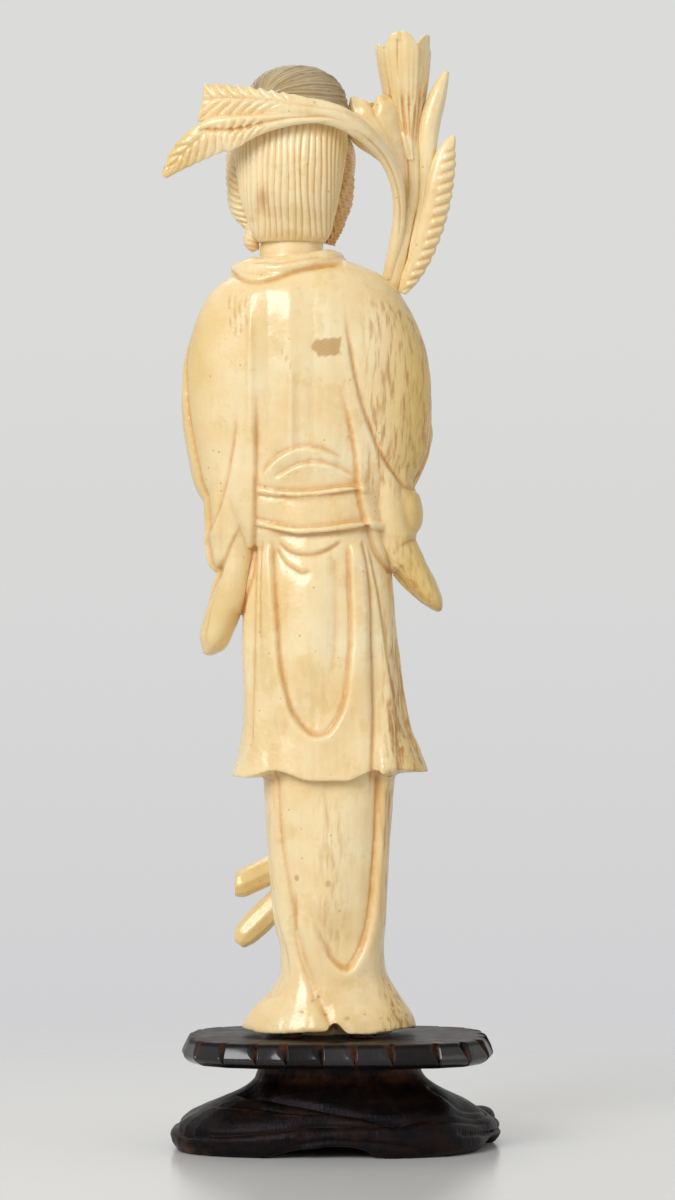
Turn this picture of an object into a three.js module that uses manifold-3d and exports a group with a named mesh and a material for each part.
// A carved lady in a wide-sleeved robe, holding a flowering branch, on a two-piece hardwood stand.
// Millimetres, +Z up. The face looks along -Y, so the carved back faces +Y, and the lady's left is +X.
// The origin is the middle of the flat underside of the stand.
import * as THREE from "three";
import { mergeVertices } from "three/addons/utils/BufferGeometryUtils.js";
import Module from "manifold-3d";

const wasm = await Module();
wasm.setup();

// Clearances
const glueGap = 0.3; // left between two glued or seated pieces
const pegGap = 0.2; // round a peg that the figure lifts off

// Stand
const footHeight = 13.7;
const footNeck = { left: 12.9, right: -13.3, rear: 8.6, fore: -8.6 };
const footBase = { left: 26.6, right: -26.6, rear: 15.8, fore: -15.8 };
const footLobe = 0.06;
const archHeight = 2.0;
const archHalfWidth = 5.6;
const archReach = 5.0;
const plateThickness = 4.0;
const plateHalfWidth = 25.0;
const plateHalfDepth = 17.5;
const plateSquareness = 3.2;
const plateTopInset = 1.4;
const plateBottomInset = 1.9;
const notchPitch = 5.6;
const notchWidth = 1.3;
const notchDepth = 1.0;
const dowelRadius = 1.6;
const dowelHalfSpacing = 7.5;
const dowelY = -3.4;
const dowelInFoot = 6.0;
const dowelInPlate = 2.2;
const pegRadius = 1.5;
const pegInPlate = 1.6;
const pegInFigure = 6.5;
const pegX = [7.2, -3.8];
const pegY = 3.4;

// Figure, with heights measured from the top of the plate
const seatGap = 0.3;
const hemHeight = 1.6;
const soleInset = 2.2;
const jacketHem = 41.4;
const jacketOverhang = 3.0;
const obiBottom = 80.3;
const obiTop = 86.9;
const obiProud = 0.7;
const obiEdge = 0.5;
const bowProud = 0.7;
const sleeveFold = 80.0;
const collarHeight = 124.2;
const neckX = 7.5;
const neckY = -0.6;
const tenonRadius = 3.4;
const tenonLength = 5.0;
const hairRise = 2.6;
const chinRise = 3.6;
const crownRise = 25.3;
const bunRise = 30.6;
const bunHalfWidth = 8.3;
const bunHalfDepth = 7.2;
const bunX = neckX - 0.9;
const bunY = neckY + 0.8;
const bunPinRadius = 0.9;
const bunPinLength = 5.0;
const wristRadius = 1.7;
const wristDepth = 3.0;
const stemRadius = 1.5;
const stubRadius = 2.0;
const fingerRadius = 0.78;
const fingerPitch = 1.45;
const palmHalfThick = 1.1;
const leftGrip = 83; // height of the left hand on the stem
const gripSpacing = 13; // from there up to the right hand
const leftHand = { gripHeight: leftGrip, cuff: [7.6, -12.2, leftGrip + 0.2], side: 1 };
const rightGrip = leftGrip + gripSpacing;
const rightHand = { gripHeight: rightGrip, cuff: [-9.6, -12.6, rightGrip - 0.4], side: -1 };

// Derived places
const plateBottom = footHeight + glueGap;
const plateTop = plateBottom + plateThickness;
const headBase = collarHeight + glueGap;

const ivory = new THREE.MeshStandardMaterial({ color: 0xead7a9, roughness: 0.32, metalness: 0 });
const smokedIvory = new THREE.MeshStandardMaterial({ color: 0xa08a64, roughness: 0.5, metalness: 0 });
const darkWood = new THREE.MeshStandardMaterial({ color: 0x2a1a13, roughness: 0.4, metalness: 0 });
const pegWood = new THREE.MeshStandardMaterial({ color: 0x4a3020, roughness: 0.6, metalness: 0 });

// Rows of a piece by the head start at x, y and z from the foot of the neck.
const fromHead = ([x, y, z, ...rest]) => [neckX + x, neckY + y, headBase + z, ...rest];

const upward = new THREE.Vector3(0, 0, 1);
const rearward = new THREE.Vector3(0, 1, 0);

// A smooth curve through rows of numbers, looked up by their first column.
function curveThrough(rows) {
  const places = rows.map((row) => row[0]);
  const values = rows.flatMap((row) => row.slice(1));
  const curve = new THREE.CubicInterpolant(places, values, rows[0].length - 1);
  return (place) => [...curve.evaluate(place)];
}

// Joins rings of equally many points, turning left as seen from the last ring, into a closed skin.
function skin(rings) {
  const sides = rings[0].length;
  const points = rings.flat();
  const faces = [];
  for (let ring = 0; ring + 1 < rings.length; ring++) {
    for (let side = 0; side < sides; side++) {
      const a = ring * sides + side;
      const b = ring * sides + ((side + 1) % sides);
      faces.push(a, b, b + sides, a, b + sides, a + sides);
    }
  }
  for (const ring of [0, rings.length - 1]) {
    const hub = points.length;
    const middle = new THREE.Vector3();
    rings[ring].forEach((point) => middle.add(point));
    points.push(middle.divideScalar(sides));
    for (let side = 0; side < sides; side++) {
      const a = ring * sides + side;
      const b = ring * sides + ((side + 1) % sides);
      faces.push(hub, ring ? a : b, ring ? b : a);
    }
  }
  return new THREE.BufferGeometry().setFromPoints(points).setIndex(faces);
}

function solidOf(geometry) {
  geometry.deleteAttribute("normal");
  geometry.deleteAttribute("uv");
  const welded = mergeVertices(geometry, 1e-4);
  const vertProperties = welded.getAttribute("position").array;
  const triVerts = new Uint32Array(welded.index.array);
  return new wasm.Manifold(new wasm.Mesh({ numProp: 3, vertProperties, triVerts }));
}

function join(solids) {
  return solids.reduce((whole, solid) => whole.add(solid));
}

function cut(whole, tools) {
  return tools.reduce((rest, tool) => rest.subtract(tool), whole);
}

// Several cuts that meet can leave a crumb between them: this keeps the carving without its crumbs.
function withoutCrumbs(solid) {
  return solid.decompose().reduce((most, body) => (body.volume() > most.volume() ? body : most));
}

function meshOf(name, solid, material) {
  const { numProp, vertProperties, triVerts } = solid.getMesh();
  const geometry = new THREE.BufferGeometry();
  const corners = new THREE.InterleavedBuffer(vertProperties, numProp);
  geometry.setAttribute("position", new THREE.InterleavedBufferAttribute(corners, 3, 0));
  geometry.setIndex(new THREE.BufferAttribute(triVerts, 1));
  const flat = geometry.toNonIndexed();
  flat.computeVertexNormals();
  const mesh = new THREE.Mesh(flat, material);
  mesh.name = name;
  return mesh;
}

// A level oval that reaches left, right, rear and fore; a squareness above 2 fills its corners.
function oval(height, [left, right, rear, fore], sides, squareness) {
  const ring = [];
  for (let side = 0; side < sides; side++) {
    const turn = (side / sides) * 2 * Math.PI;
    const c = Math.cos(turn);
    const s = Math.sin(turn);
    const reach = (Math.abs(c) ** squareness + Math.abs(s) ** squareness) ** (-1 / squareness) / 2;
    const x = (left + right) / 2 + c * reach * (left - right);
    const y = (rear + fore) / 2 + s * reach * (rear - fore);
    ring.push(new THREE.Vector3(x, y, height));
  }
  return ring;
}

// A form is a stack of ovals between two heights: rows hold share of height, left, right, rear, fore.
function ovalOf(form, share, grow = 0) {
  const [x, y] = form.middle ?? [0, 0];
  const [left, right, rear, fore] = curveThrough(form.rows)(share);
  return [x + left + grow, x + right - grow, y + rear + grow, y + fore - grow];
}

function loft(form, grow = 0) {
  const rings = [];
  for (let step = 0; step <= form.steps; step++) {
    const share = step / form.steps;
    const height = THREE.MathUtils.lerp(form.from - grow, form.to + grow, share);
    rings.push(oval(height, ovalOf(form, share, grow), form.sides, form.squareness));
  }
  return solidOf(skin(rings));
}

// How far back the skin of a form lies at a place across and up it.
function rearOf(form, x, height) {
  const share = THREE.MathUtils.clamp((height - form.from) / (form.to - form.from), 0, 1);
  const [left, right, rear, fore] = ovalOf(form, share);
  const across = Math.min(Math.abs((2 * x - left - right) / (left - right)), 1);
  const reach = (1 - across ** form.squareness) ** (1 / form.squareness);
  return (rear + fore) / 2 + (reach * (rear - fore)) / 2;
}

// Draws a round or flat section along a smooth line: rows hold x, y, z, half width, half thickness.
function sweep(rows, { facing = rearward, sides = 8, steps = 12, grow = 0 } = {}) {
  const line = curveThrough(rows.map((row, place) => [place, ...row]));
  const last = rows.length - 1;
  const rings = [];
  for (let step = 0; step <= steps; step++) {
    const place = (step / steps) * last;
    const [x, y, z, halfWidth, halfThick] = line(place);
    const before = line(Math.max(place - 0.01, 0));
    const after = line(Math.min(place + 0.01, last));
    const along = new THREE.Vector3(...after).sub(new THREE.Vector3(...before)).normalize();
    const across = new THREE.Vector3().crossVectors(along, facing).normalize();
    const through = new THREE.Vector3().crossVectors(across, along);
    const middle = new THREE.Vector3(x, y, z);
    if (step === 0) middle.addScaledVector(along, -grow);
    if (step === steps) middle.addScaledVector(along, grow);
    const ring = [];
    for (let side = 0; side < sides; side++) {
      const turn = (side / sides) * 2 * Math.PI;
      const point = middle.clone().addScaledVector(across, Math.cos(turn) * (halfWidth + grow));
      ring.push(point.addScaledVector(through, -Math.sin(turn) * (halfThick + grow)));
    }
    rings.push(ring);
  }
  return solidOf(skin(rings));
}

function ball([x, y, z], [rx, ry, rz], grow = 0, around = 16, down = 10) {
  const geometry = new THREE.SphereGeometry(1, around, down).rotateX(Math.PI / 2);
  geometry.scale(rx + grow, ry + grow, rz + grow).translate(x, y, z);
  return solidOf(geometry);
}

function upright(radius, x, y, bottom, top) {
  const geometry = new THREE.CylinderGeometry(radius, radius, top - bottom, 24).rotateX(Math.PI / 2);
  return solidOf(geometry.translate(x, y, (bottom + top) / 2));
}

// Stand foot: a waisted block that flares into four lobes, with an arch between each two.
function footRing(share) {
  const flare = curveThrough([
    [0, 0.94],
    [0.14, 1],
    [0.31, 0.92],
    [0.49, 0.66],
    [0.66, 0.31],
    [0.84, 0.02],
    [1, 0],
  ])(share)[0];
  const reaches = ["left", "right", "rear", "fore"].map((way) =>
    THREE.MathUtils.lerp(footNeck[way], footBase[way], flare),
  );
  const ring = oval(share * footHeight, reaches, 40, 2.3);
  ring.forEach((point, side) => {
    const lobe = 1 + (footLobe * flare * (1 - Math.cos((side / ring.length) * 8 * Math.PI))) / 2;
    point.x *= lobe;
    point.y *= lobe;
  });
  return ring;
}

function dowelHoles(gap) {
  return [-1, 1].map((way) => dowelAt(way, gap));
}

function dowelAt(way, gap = 0) {
  const bottom = footHeight - dowelInFoot - gap;
  const top = plateBottom + dowelInPlate + gap;
  return upright(dowelRadius + gap, way * dowelHalfSpacing, dowelY, bottom, top);
}

function pegAt(x, gap = 0) {
  const bottom = plateTop - pegInPlate - gap;
  return upright(pegRadius + gap, x, pegY, bottom, plateTop + pegInFigure + gap);
}

function standFoot() {
  const steps = 10;
  const rings = [];
  for (let step = 0; step <= steps; step++) rings.push(footRing(step / steps));
  const arches = [
    ball([0, footBase.rear, 0], [archHalfWidth, archReach, archHeight]),
    ball([0, footBase.fore, 0], [archHalfWidth, archReach, archHeight]),
    ball([footBase.left, 0, 0], [archReach, archHalfWidth, archHeight]),
    ball([footBase.right, 0, 0], [archReach, archHalfWidth, archHeight]),
  ];
  return cut(solidOf(skin(rings)), [...arches, ...dowelHoles(glueGap)]);
}

// Stand plate: a thick plate with a sloping edge, cut all round by wedge-shaped notches.
function plateRing(height, inset) {
  const x = plateHalfWidth - inset;
  const y = plateHalfDepth - inset;
  return oval(height, [x, -x, y, -y], 48, plateSquareness);
}

function standPlate() {
  const belly = plateBottom + plateThickness * 0.35;
  const slab = solidOf(
    skin([
      plateRing(plateBottom, plateBottomInset),
      plateRing(belly, 0),
      plateRing(plateTop, plateTopInset),
    ]),
  );
  const edge = new THREE.CatmullRomCurve3(plateRing(plateTop, plateTopInset), true);
  const count = Math.round(edge.getLength() / notchPitch);
  const notches = [];
  for (let notch = 0; notch < count; notch++) {
    const place = edge.getPointAt(notch / count);
    const outward = edge.getTangentAt(notch / count).cross(upward).normalize();
    const foot = place.clone().addScaledVector(outward, plateTopInset);
    const rows = [
      [place.x, place.y, plateTop + 0.3, notchWidth / 2, notchDepth],
      [foot.x, foot.y, plateBottom - 0.3, notchWidth / 8, notchDepth / 2],
    ];
    notches.push(sweep(rows, { facing: outward, sides: 4, steps: 1 }));
  }
  const holes = [...dowelHoles(glueGap), ...pegX.map((x) => pegAt(x, glueGap))];
  return cut(slab, [...notches, ...holes]);
}

// Robe: the under-skirt, the jacket with its tied sash, the broad shoulders and the hanging sleeves.
const sole = {
  from: seatGap,
  to: hemHeight + 1.5,
  rows: [
    [0, 14.6 - soleInset, -12 + soleInset, 8.6 - soleInset, -9.6 + soleInset],
    [1, 14.6 - soleInset, -12 + soleInset, 8.6 - soleInset, -9.6 + soleInset],
  ],
  steps: 1,
  sides: 32,
  squareness: 2.3,
};

const underSkirt = {
  from: hemHeight,
  to: jacketHem + jacketOverhang,
  rows: [
    [0, 14.9, -12.2, 8.6, -10.2],
    [0.06, 13.9, -11.3, 8.1, -9.6],
    [0.12, 11.2, -9.7, 7.2, -8.2],
    [0.18, 9.6, -8.2, 6.6, -7.3],
    [0.26, 9.2, -7.6, 6.5, -7.1],
    [0.4, 10.3, -8.0, 6.9, -7.4],
    [0.64, 11.2, -8.4, 7.3, -7.8],
    [1, 12.0, -9.2, 7.6, -8.1],
  ],
  steps: 16,
  sides: 32,
  squareness: 2.3,
};

const jacket = {
  from: jacketHem,
  to: obiTop,
  rows: [
    [0, 17.0, -14.6, 9.6, -10.4],
    [0.07, 16.0, -13.4, 9.4, -10.1],
    [0.15, 15.3, -12.0, 9.1, -9.7],
    [0.28, 15.0, -10.7, 8.8, -9.3],
    [0.45, 15.2, -9.7, 8.5, -9.0],
    [0.65, 14.9, -8.9, 8.2, -8.8],
    [0.85, 13.6, -8.0, 7.9, -8.6],
    [1, 13.2, -7.7, 7.9, -8.6],
  ],
  steps: 12,
  sides: 36,
  squareness: 2.3,
};

const mantle = {
  from: sleeveFold - 2,
  to: collarHeight,
  rows: [
    [0, 15.5, -8.0, 7.0, -8.5],
    [0.09, 19.0, -9.0, 7.6, -10.0],
    [0.19, 22.2, -11.9, 8.0, -11.3],
    [0.31, 23.7, -14.6, 8.4, -11.8],
    [0.42, 24.6, -15.3, 8.8, -11.8],
    [0.53, 24.9, -15.3, 9.2, -11.6],
    [0.63, 24.6, -14.8, 9.5, -11.2],
    [0.73, 23.6, -13.5, 9.6, -10.6],
    [0.83, 22.0, -11.4, 9.3, -9.8],
    [0.9, 19.8, -8.9, 8.6, -8.9],
    [0.95, 16.4, -6.2, 7.4, -7.7],
    [1, 12.6, -0.4, 5.0, -5.6],
  ],
  steps: 18,
  sides: 36,
  squareness: 2.25,
};

const collar = {
  from: collarHeight - 4.6,
  to: collarHeight,
  rows: [
    [0, 16.6, -3.6, 7.6, -8.0],
    [0.4, 15.6, -2.2, 7.5, -7.6],
    [0.75, 14.6, -0.8, 6.8, -7.0],
    [1, 13.4, 1.0, 5.6, -6.2],
  ],
  steps: 4,
  sides: 32,
  squareness: 2.2,
};

// The sash band, a shade proud of the jacket.
function sashForm(from, to, proud) {
  const rows = [0, 1].map((end) => {
    const height = end ? to : from;
    return [end, ...ovalOf(jacket, (height - jacket.from) / (jacket.to - jacket.from), proud)];
  });
  return { from, to, rows, steps: 1, sides: 36, squareness: jacket.squareness };
}

// The bow of the sash: two low lobes that overlap above the band on the back.
function sashBow() {
  const bow = [
    [12.2, 0.4],
    [9.4, 3.6],
    [4.6, 5.2],
    [0.2, 4.4],
    [-3.6, 1.6],
  ];
  const rows = bow.map(([x, rise]) => {
    const height = obiTop + rise * 0.5;
    return [x, rearOf(mantle, x, height) - 0.4, height, rise * 0.5 + 0.7, bowProud + 0.4];
  });
  return sweep(rows, { sides: 8, steps: 10 });
}

// A forearm in its sleeve, from the shoulder round the elbow to the cuff. Heights are from the cuff's.
const leftForearm = [
  [18.5, -1.5, 22.8, 5.4, 6.6],
  [18.8, -2.6, 12.8, 4.6, 7.2],
  [16.6, -6.0, 5.3, 4.4, 5.6],
  [12.6, -9.8, 1.8, 4.2, 4.6],
  [leftHand.cuff[0], leftHand.cuff[1], 0, 3.8, 4.0],
];
const rightForearm = [
  [-9.6, -1.5, 12.4, 4.8, 6.6],
  [-10.6, -3.4, 3.9, 4.4, 6.6],
  [-10.9, -7.4, 0.2, 4.2, 5.0],
  [-10.6, -10.4, -0.2, 3.8, 4.2],
  [rightHand.cuff[0], rightHand.cuff[1], 0, 3.4, 3.7],
];

function forearm(hand, rows) {
  const raised = rows.map(([x, y, z, ...rest]) => [x, y, hand.cuff[2] + z, ...rest]);
  return sweep(raised, { sides: 12, steps: 8 });
}

// The hanging ends of the sleeves, each a long narrow fold with a shorter one beside it.
const leftDrape = [
  [17.6, -0.8, 99, 4.6, 6.4],
  [17.2, -0.8, 88, 4.2, 6.2],
  [16.7, -0.6, 80, 3.2, 5.6],
  [16.5, -0.4, 74.5, 2.6, 4.9],
  [17.7, -0.3, 69.4, 2.7, 4.3],
  [19.1, -0.3, 65.4, 2.6, 3.7],
  [20.5, -0.3, 61.8, 1.6, 2.6],
  [21.1, -0.3, 60.6, 0.6, 1.2],
];
const leftFold = [
  [19.2, -1.0, 90, 2.6, 5.6],
  [19.0, -1.0, 84, 2.2, 5.2],
  [18.7, -1.0, 78.4, 2.1, 4.6],
  [18.2, -1.0, 75.4, 1.9, 3.6],
  [17.8, -1.0, 73.8, 0.8, 2.0],
];
const rightDrape = [
  [-5.6, 1.2, 104, 2.8, 5.6],
  [-7.2, 0.4, 93, 3.6, 6.0],
  [-8.2, 0.0, 84.5, 3.8, 5.8],
  [-9.4, -0.2, 79, 3.4, 5.0],
  [-11.7, -0.3, 74.8, 2.7, 4.2],
  [-14.1, -0.3, 71.2, 2.1, 3.5],
  [-15.9, -0.3, 68.5, 1.2, 2.2],
  [-16.5, -0.3, 67.4, 0.5, 1.0],
];
const rightFold = [
  [-9.2, -0.6, 92, 3.2, 5.8],
  [-10.0, -0.6, 87, 2.6, 5.4],
  [-11.2, -0.6, 83.0, 2.6, 4.8],
  [-11.3, -0.6, 80.6, 1.8, 3.6],
  [-11.2, -0.6, 79.2, 0.7, 1.8],
];

// Grooves carved in the back, as places across and up it.
const sleeveGrooves = [
  [
    [14.0, 106],
    [13.1, 98],
    [12.9, 89],
    [13.2, 81],
  ],
  [
    [-1.2, 114],
    [-3.0, 105],
    [-6.0, 94.5],
    [-8.6, 89],
    [-12.6, 86.8],
  ],
];
const swagGroove = [
  [10.5, 79],
  [10.2, 70],
  [9.4, 60],
  [8.2, 52.8],
  [5.5, 48.7],
  [3.1, 47.6],
  [0.9, 48.4],
  [-1.1, 51.8],
  [-1.9, 60],
  [-1.9, 70],
  [-1.5, 78],
];
const hemGroove = [
  [6.0, 26],
  [4.7, 17.6],
  [2.4, 13.2],
  [-1.2, 10.6],
  [-4.2, 14.4],
  [-6.0, 21.5],
  [-6.3, 31],
];

function groove(form, places, halfWidth, depth) {
  const last = places.length - 1;
  const rows = places.map(([x, height], place) => {
    const fade = place === 0 || place === last ? 0.3 : 1;
    return [x, rearOf(form, x, height), height, halfWidth * fade, depth * fade];
  });
  return sweep(rows, { sides: 4, steps: places.length * 2 });
}

// The toes of two small feet under the front of the hem.
function toes() {
  return [-1, 1].map((way) => ball([1.3 + way * 4.2, -8.4, 1.9], [3.0, 4.6, 1.6], 0, 12, 8));
}

function robe(branch) {
  const body = join([
    loft(sole),
    loft(underSkirt),
    loft(jacket),
    loft(mantle),
    loft(collar),
    loft(sashForm(obiBottom, obiTop, obiProud)),
    loft(sashForm(obiBottom + 0.3, obiBottom + 1.5, obiProud + obiEdge)),
    sashBow(),
    forearm(leftHand, leftForearm),
    forearm(rightHand, rightForearm),
    ...[leftDrape, rightDrape].map((rows) => sweep(rows, { sides: 12, steps: 12 })),
    ...[leftFold, rightFold].map((rows) => sweep(rows, { sides: 10, steps: 7 })),
    ...toes(),
  ]);
  const carving = [
    ...sleeveGrooves.map((places) => groove(mantle, places, 0.9, 0.8)),
    groove(jacket, swagGroove, 0.9, 0.7),
    groove(underSkirt, hemGroove, 0.9, 0.7),
  ];
  const neckHole = upright(
    tenonRadius + glueGap, neckX, neckY, collarHeight - tenonLength - glueGap, collarHeight + 1,
  );
  const pegHoles = pegX.map((x) => pegAt(x, pegGap).translate([0, 0, -plateTop]));
  return withoutCrumbs(cut(body, [...carving, neckHole, ...pegHoles, ...branch]));
}

// Head: neck with its tenon, face, combed hair and the locks at its sides.
const neck = {
  middle: [neckX, neckY],
  from: headBase,
  to: headBase + chinRise + 4,
  rows: [
    [0, 5.6, -5.6, 5.0, -4.6],
    [0.35, 5.3, -5.3, 4.9, -4.4],
    [1, 5.4, -5.4, 5.0, -4.6],
  ],
  steps: 4,
  sides: 24,
  squareness: 2,
};

const face = {
  middle: [neckX, neckY],
  from: headBase + chinRise,
  to: headBase + crownRise - 1.4,
  rows: [
    [0, 1.7, -1.7, -3.0, -7.6],
    [0.06, 3.6, -3.6, -0.6, -8.5],
    [0.2, 6.1, -6.1, 2.6, -8.8],
    [0.4, 7.7, -7.7, 4.6, -8.9],
    [0.6, 8.2, -8.2, 5.6, -9.1],
    [0.8, 7.6, -7.6, 5.6, -8.4],
    [0.93, 5.4, -5.4, 4.6, -6.2],
    [1, 3.0, -3.0, 2.6, -3.6],
  ],
  steps: 12,
  sides: 30,
  squareness: 2.15,
};

const hair = {
  middle: [neckX, neckY],
  from: headBase + hairRise,
  to: headBase + crownRise,
  rows: [
    [0, 5.8, -5.6, 6.9, -0.4],
    [0.13, 7.3, -6.9, 8.5, -1.6],
    [0.28, 8.3, -8.3, 9.4, -2.6],
    [0.43, 9.5, -9.3, 9.9, -3.6],
    [0.58, 10.0, -9.9, 10.0, -4.6],
    [0.72, 9.7, -9.8, 9.6, -6.6],
    [0.84, 8.3, -8.8, 8.4, -8.0],
    [0.94, 5.3, -6.1, 6.0, -5.8],
    [1, 2.1, -2.9, 3.2, -2.8],
  ],
  steps: 14,
  sides: 36,
  squareness: 2.2,
};

// The locks that hang by the ears; the left one ends in a small curl.
const locks = [
  [
    [7.9, -1.8, 17.5, 1.8, 3.4],
    [8.1, -2.0, 13, 2.0, 3.2],
    [7.4, -2.2, 8.6, 1.9, 2.6],
    [6.7, -2.2, 5.6, 0.9, 1.4],
  ],
  [
    [-7.9, -1.8, 17.5, 1.8, 3.4],
    [-8.3, -2.0, 12.5, 1.9, 3.2],
    [-6.9, -2.2, 7.4, 2.0, 2.6],
    [-5.7, -2.2, 2.6, 1.0, 1.4],
  ],
  [
    [5.9, 0, 4.6, 0.8, 1.2],
    [5.8, 0, 2.6, 1.3, 1.8],
    [5.5, 0, 0.9, 0.6, 0.9],
  ],
].map((rows) => rows.map(fromHead));

// A plain straight nose on the middle of the face.
function nose() {
  const rows = [
    [0, -8.2, 16.4, 0.7, 0.6],
    [0, -9.1, 13.4, 0.8, 0.9],
    [0, -9.8, 10.2, 1.2, 1.1],
    [0, -8.8, 9.2, 0.8, 0.6],
  ].map(fromHead);
  return sweep(rows, { sides: 8, steps: 6 });
}

function headForms(grow) {
  return join([
    loft(face, grow),
    loft(hair, grow),
    ...locks.map((rows) => sweep(rows, { sides: 8, steps: 5, grow })),
  ]);
}

function bunPin(gap = 0) {
  const middle = headBase + crownRise;
  return upright(
    bunPinRadius + gap, bunX, bunY, middle - bunPinLength / 2 - gap, middle + bunPinLength / 2 + gap,
  );
}

function head() {
  const tenon = upright(tenonRadius, neckX, neckY, collarHeight - tenonLength, headBase + 1);
  const body = join([tenon, loft(neck), headForms(0), nose()]);
  return cut(body, [bunPin(glueGap)]);
}

// Bun: a domed coil of hair that sits over the crown.
function bunForm(grow = 0) {
  const middle = headBase + crownRise - 1.6;
  const height = headBase + bunRise - middle;
  return ball([bunX, bunY, middle], [bunHalfWidth, bunHalfDepth, height], grow, 28, 16);
}

function bun() {
  return cut(bunForm(), [headForms(glueGap), bunPin(glueGap)]);
}

// Branch: the main stem with two cut stubs at its foot, running up the front to the right shoulder.
const stemLine = [
  [5.0, -12.2, 30, 1.15],
  [3.2, -12.8, 45, 1],
  [1.4, -14.2, 62, 1],
  [-0.4, -16.0, 76, 1],
  [-1.6, -16.9, 86, 1],
  [-3.4, -16.6, 97, 1],
  [-5.6, -14.0, 107, 1],
  [-7.8, -10.0, 115, 1],
  fromHead([-16.7, -6.2, -3.5, 1]),
  fromHead([-17.7, -4.6, 1.5, 0.95]),
  fromHead([-18.9, -3.6, 7.5, 0.9]),
  fromHead([-19.6, -3.2, 12.0, 0.9]),
];
const stubs = [
  [
    [16.2, -9.2, 22.6],
    [12.2, -10.4, 24.4],
    [8.2, -11.6, 26.8],
    [4.9, -12.2, 31.5],
  ],
  [
    [15.6, -9.0, 13.6],
    [11.0, -10.2, 18.8],
    [7.4, -11.4, 23.4],
    [4.9, -12.2, 30.5],
  ],
];

function stemAt(height) {
  return curveThrough(stemLine.map(([x, y, z]) => [z, x, y]))(height);
}

function branchForms(grow) {
  const trunk = stemLine.map(([x, y, z, share]) => [x, y, z, stemRadius * share, stemRadius * share]);
  const roots = stubs.map((stub) => {
    const rows = stub.map(([x, y, z], place) => {
      const radius = place === stub.length - 1 ? stemRadius : stubRadius;
      return [x, y, z, radius, radius];
    });
    return sweep(rows, { sides: 8, steps: 5, grow });
  });
  return join([sweep(trunk, { sides: 8, steps: 30, grow }), ...roots]);
}

// Side bud: a closed pointed bud whose stalk runs beside the main stem.
const budRows = [
  [-19.1, -4.4, -3, 0.8, 0.9],
  [-20.2, -4, 2, 1.1, 1.2],
  [-21.4, -3.6, 8.5, 1.15, 1.3],
  [-21.9, -3.4, 15.5, 1.4, 1.6],
  [-22.4, -3.2, 21.5, 1.7, 1.9],
  [-23.8, -3, 26.5, 1.4, 1.6],
  [-25, -2.9, 30, 0.5, 0.6],
].map(fromHead);

// Ribbed leaf: a long blade whose outer edge is cut into slanting scallops.
const leafRows = [
  [-17.9, -5, -5.5, 0.7, 0.8],
  [-19.2, -4.6, -3.2, 1.5, 1.1],
  [-20.8, -4, 0.2, 1.95, 1.3],
  [-22.2, -3.2, 4.2, 2.2, 1.3],
  [-23.4, -2.6, 8.6, 2.3, 1.3],
  [-24.2, -2.2, 13, 2.2, 1.3],
  [-25.2, -2, 17.2, 1.5, 1],
  [-26.3, -2, 19.4, 0.4, 0.5],
].map(fromHead);

// Head leaf: a stalk that arches over to the back of the head and ends in two blades.
const archRows = [
  [-15.7, -5.8, -3, 1, 1.2],
  [-16.7, -4, 1.5, 1.1, 1.3],
  [-17.4, -1.8, 7, 1, 1.3],
  [-17, 0.8, 11.5, 1.1, 1.3],
  [-15.2, 3.8, 15.4, 1.2, 1.3],
  [-12.1, 7.2, 18.6, 1.5, 1.3],
  [-7.9, 9.8, 21.2, 1.8, 1.2],
  [-2.9, 11, 22.5, 1.9, 1],
  [1.5, 11.3, 22.7, 1.6, 0.8],
].map(fromHead);
const upperBlade = [
  [-5.5, 10.4, 22.9, 1.2, 0.9],
  [-1.5, 10.9, 23.4, 1.5, 1],
  [3.3, 11.1, 23.6, 1.9, 1],
  [8.1, 10.7, 23.6, 2.4, 1],
  [13.3, 9.8, 23.9, 3, 0.9],
].map(fromHead);
const lowerBlade = [
  [-6.3, 10.6, 21.3, 1, 0.9],
  [-1.5, 11.2, 21.3, 1.1, 1],
  [3.3, 11.4, 20.3, 1.6, 1],
  [8.1, 11.2, 18.7, 2.6, 1],
  [12.2, 10.7, 17.2, 3.1, 1],
  [15.4, 10.1, 15.6, 2.7, 0.9],
  [18, 9.4, 13.6, 1.8, 0.8],
  [20, 8.9, 11.9, 0.7, 0.5],
].map(fromHead);

function headLeafForms(grow) {
  return join([
    sweep(archRows, { sides: 10, steps: 18, grow }),
    sweep(upperBlade, { sides: 10, steps: 8, grow }),
    sweep(lowerBlade, { sides: 10, steps: 10, grow }),
  ]);
}

// Small open blossom between the bun and the tall one.
const smallBlossomRows = [
  [-17.4, -3.6, 14, 0.6, 0.7],
  [-16.8, -3.2, 16.3, 1.5, 1.4],
  [-15, -2.8, 19.3, 2.7, 2.4],
  [-13.3, -2.6, 22.4, 3.3, 3],
  [-12.8, -2.6, 24.4, 3.5, 2.8],
].map(fromHead);

function smallBlossom() {
  const cup = [
    [-14, -2.7, 20.7, 0.7, 0.6],
    [-13.1, -2.6, 22.9, 1.9, 1.5],
    [-12.7, -2.6, 25, 2.8, 2.1],
  ].map(fromHead);
  return cut(sweep(smallBlossomRows, { sides: 16, steps: 10 }), [sweep(cup, { sides: 12, steps: 4 })]);
}

// Tall blossom: a half-open cup of overlapping petals, scalloped round its rim.
const blossomLine = [
  [-19.6, -3.2, 12.5, 1.3],
  [-19.2, -3.2, 16, 1.6],
  [-18.6, -3.2, 20.5, 2.4],
  [-18.3, -3.2, 25.5, 3.4],
  [-18.1, -3.2, 30.5, 4.2],
  [-17.9, -3.2, 36.2, 4.65],
].map(fromHead);
const petalCount = 5;
const petalDip = 2.4;
const petalWall = 0.9;
const cupBottom = 0.62; // share of the way up

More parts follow.
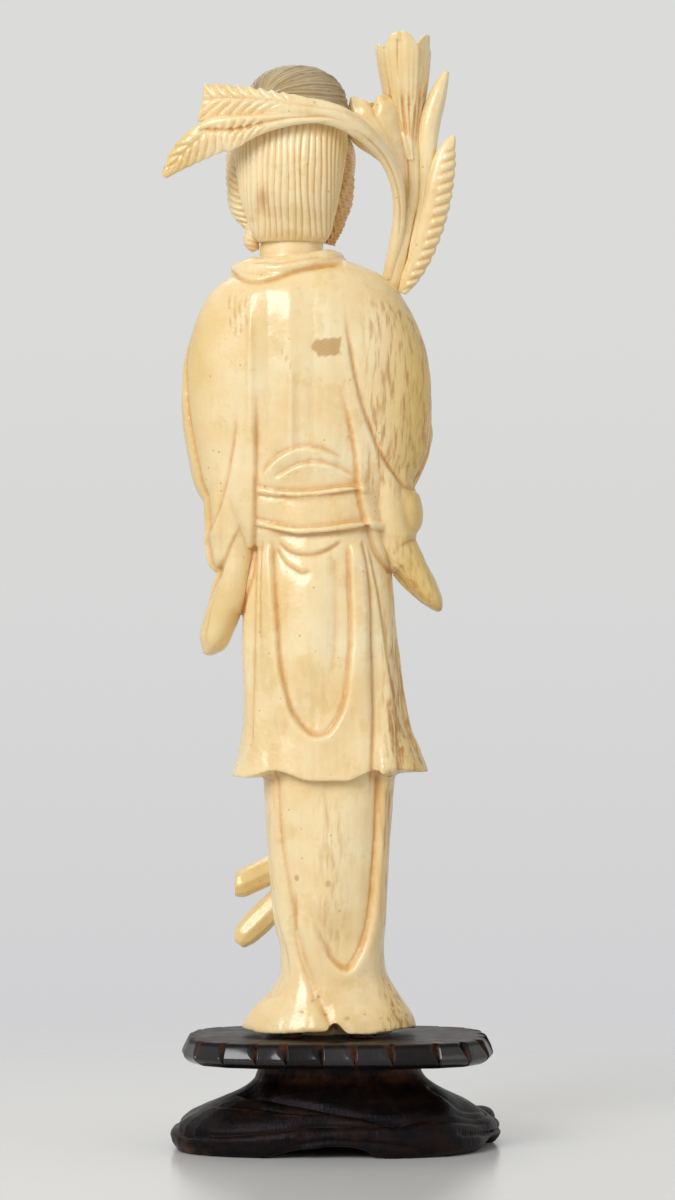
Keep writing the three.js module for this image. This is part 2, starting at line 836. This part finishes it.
function petalRing(share, inset) {
  const places = blossomLine.map((row, place) => [place / (blossomLine.length - 1), ...row]);
  const [x, y, z, radius] = curveThrough(places)(share);
  const sides = petalCount * 6;
  const ring = [];
  for (let side = 0; side < sides; side++) {
    const turn = (side / sides) * 2 * Math.PI;
    const petal = Math.abs(Math.sin((turn * petalCount) / 2));
    const reach = radius * (0.93 + 0.1 * petal * share) - inset;
    const drop = petalDip * share ** 6 * (1 - petal);
    ring.push(new THREE.Vector3(x + Math.cos(turn) * reach, y + Math.sin(turn) * reach, z - drop));
  }
  return ring;
}

const petalShares = [0, 0.15, 0.3, 0.45, 0.6, 0.75, 0.88, 1];

function blossom() {
  const outer = petalShares.map((share) => petalRing(share, 0));
  const inner = [0.99, 0.85, 0.7, cupBottom].map((share) => petalRing(share, petalWall));
  return solidOf(skin([...outer, ...inner]));
}

function blossomRoom() {
  return solidOf(skin(petalShares.map((share) => petalRing(share, -glueGap))));
}

// Hands: a wrist set in the cuff, a palm behind the stem, four fingers curled round it and a thumb.
function handFrame({ gripHeight, cuff, side }) {
  const [x, y] = stemAt(gripHeight);
  const [nextX, nextY] = stemAt(gripHeight + 1);
  const grip = new THREE.Vector3(x, y, gripHeight);
  const along = new THREE.Vector3(nextX - x, nextY - y, 1).normalize();
  const reach = grip.clone().sub(new THREE.Vector3(...cuff));
  const ahead = reach.addScaledVector(along, -reach.dot(along)).normalize();
  const out = new THREE.Vector3().crossVectors(along, ahead).multiplyScalar(side);
  return { grip, along, ahead, out };
}

function palm(hand, grow = 0) {
  const { grip, ahead, out } = handFrame(hand);
  const cuff = new THREE.Vector3(...hand.cuff);
  const behind = grip.clone().addScaledVector(out, -(stemRadius + glueGap + palmHalfThick));
  const row = (from, forward, halfWidth, halfThick) => {
    const { x, y, z } = from.clone().addScaledVector(ahead, forward);
    return [x, y, z, halfWidth, halfThick];
  };
  const palmHalfWidth = 2 * fingerPitch;
  const rows = [
    row(cuff, -wristDepth, wristRadius, wristRadius),
    row(cuff, 0, wristRadius, wristRadius * 0.9),
    row(behind, -3.2, palmHalfWidth * 0.95, palmHalfThick * 1.1),
    row(behind, 0, palmHalfWidth, palmHalfThick),
    row(behind, 1.5, palmHalfWidth * 0.85, palmHalfThick * 0.8),
  ];
  return sweep(rows, { facing: out, sides: 10, steps: 8, grow });
}

function fingersAndThumb(hand) {
  const { grip, along, ahead, out } = handFrame(hand);
  const turnRadius = stemRadius + glueGap + fingerRadius;
  const round = (degrees, distance, up, radius) => {
    const turn = THREE.MathUtils.degToRad(degrees);
    const point = grip.clone().addScaledVector(along, up);
    point.addScaledVector(ahead, distance * Math.cos(turn));
    point.addScaledVector(out, distance * Math.sin(turn));
    return [point.x, point.y, point.z, radius, radius];
  };
  const fingers = [-1.5, -0.5, 0.5, 1.5].map((rank) => {
    const turns = [-80, -25, 30, 85, 135, 180];
    const rows = turns.map((degrees, joint) =>
      round(degrees, turnRadius, rank * fingerPitch, fingerRadius * (1 - joint * 0.04)),
    );
    return sweep(rows, { facing: along, sides: 6, steps: 7 });
  });
  const thumb = [
    round(218, turnRadius + 2.4, 1.6, fingerRadius * 1.3),
    round(190, turnRadius + 1.2, 3.0, fingerRadius * 1.2),
    round(140, turnRadius + 0.2, 3.8, fingerRadius * 1.1),
    round(85, turnRadius + 0.1, 4.0, fingerRadius * 0.8),
  ];
  return join([...fingers, sweep(thumb, { facing: along, sides: 6, steps: 5 })]);
}

// Assembly
const stand = new THREE.Group();
stand.add(
  meshOf("stand_foot", standFoot(), darkWood),
  meshOf("stand_plate", standPlate(), darkWood),
  meshOf("stand_dowel_left", dowelAt(1), pegWood),
  meshOf("stand_dowel_right", dowelAt(-1), pegWood),
  meshOf("figure_peg_left", pegAt(pegX[0]), pegWood),
  meshOf("figure_peg_right", pegAt(pegX[1]), pegWood),
);

const handRoom = [leftHand, rightHand].map((hand) => palm(hand, glueGap));
const branch = branchForms(0);
const branchRoom = branchForms(glueGap);
const budRoom = sweep(budRows, { sides: 8, steps: 14, grow: glueGap });
const bud = cut(sweep(budRows, { sides: 8, steps: 14 }), [branchRoom]);
const leafRoom = sweep(leafRows, { sides: 8, steps: 14, grow: glueGap });
const leaf = cut(sweep(leafRows, { sides: 8, steps: 14 }), [branchRoom, budRoom]);
const headLeaf = cut(headLeafForms(0), [headForms(glueGap), bunForm(glueGap), branchRoom]);
const headLeafRoom = headLeafForms(glueGap);
const tallBlossom = cut(blossom(), [branchRoom, budRoom]);
const openBlossom = cut(smallBlossom(), [
  headForms(glueGap), bunForm(glueGap), branchRoom, headLeafRoom, blossomRoom(),
]);

const figure = new THREE.Group();
figure.position.z = plateTop;
figure.add(
  meshOf("robe", robe([branchRoom, budRoom, leafRoom, headLeafRoom, ...handRoom]), ivory),
  meshOf("head", head(), ivory),
  meshOf("hair_bun", bun(), smokedIvory),
  meshOf("bun_pin", bunPin(), ivory),
  meshOf("left_hand", palm(leftHand).add(fingersAndThumb(leftHand)), ivory),
  meshOf("right_hand", palm(rightHand).add(fingersAndThumb(rightHand)), ivory),
  meshOf("flower_stem", branch, ivory),
  meshOf("tall_blossom", tallBlossom, ivory),
  meshOf("small_blossom", openBlossom, ivory),
  meshOf("side_bud", bud, ivory),
  meshOf("ribbed_leaf", leaf, ivory),
  meshOf("head_leaf", headLeaf, ivory),
);

const carvedLady = new THREE.Group();
carvedLady.add(stand, figure);
export default carvedLady;
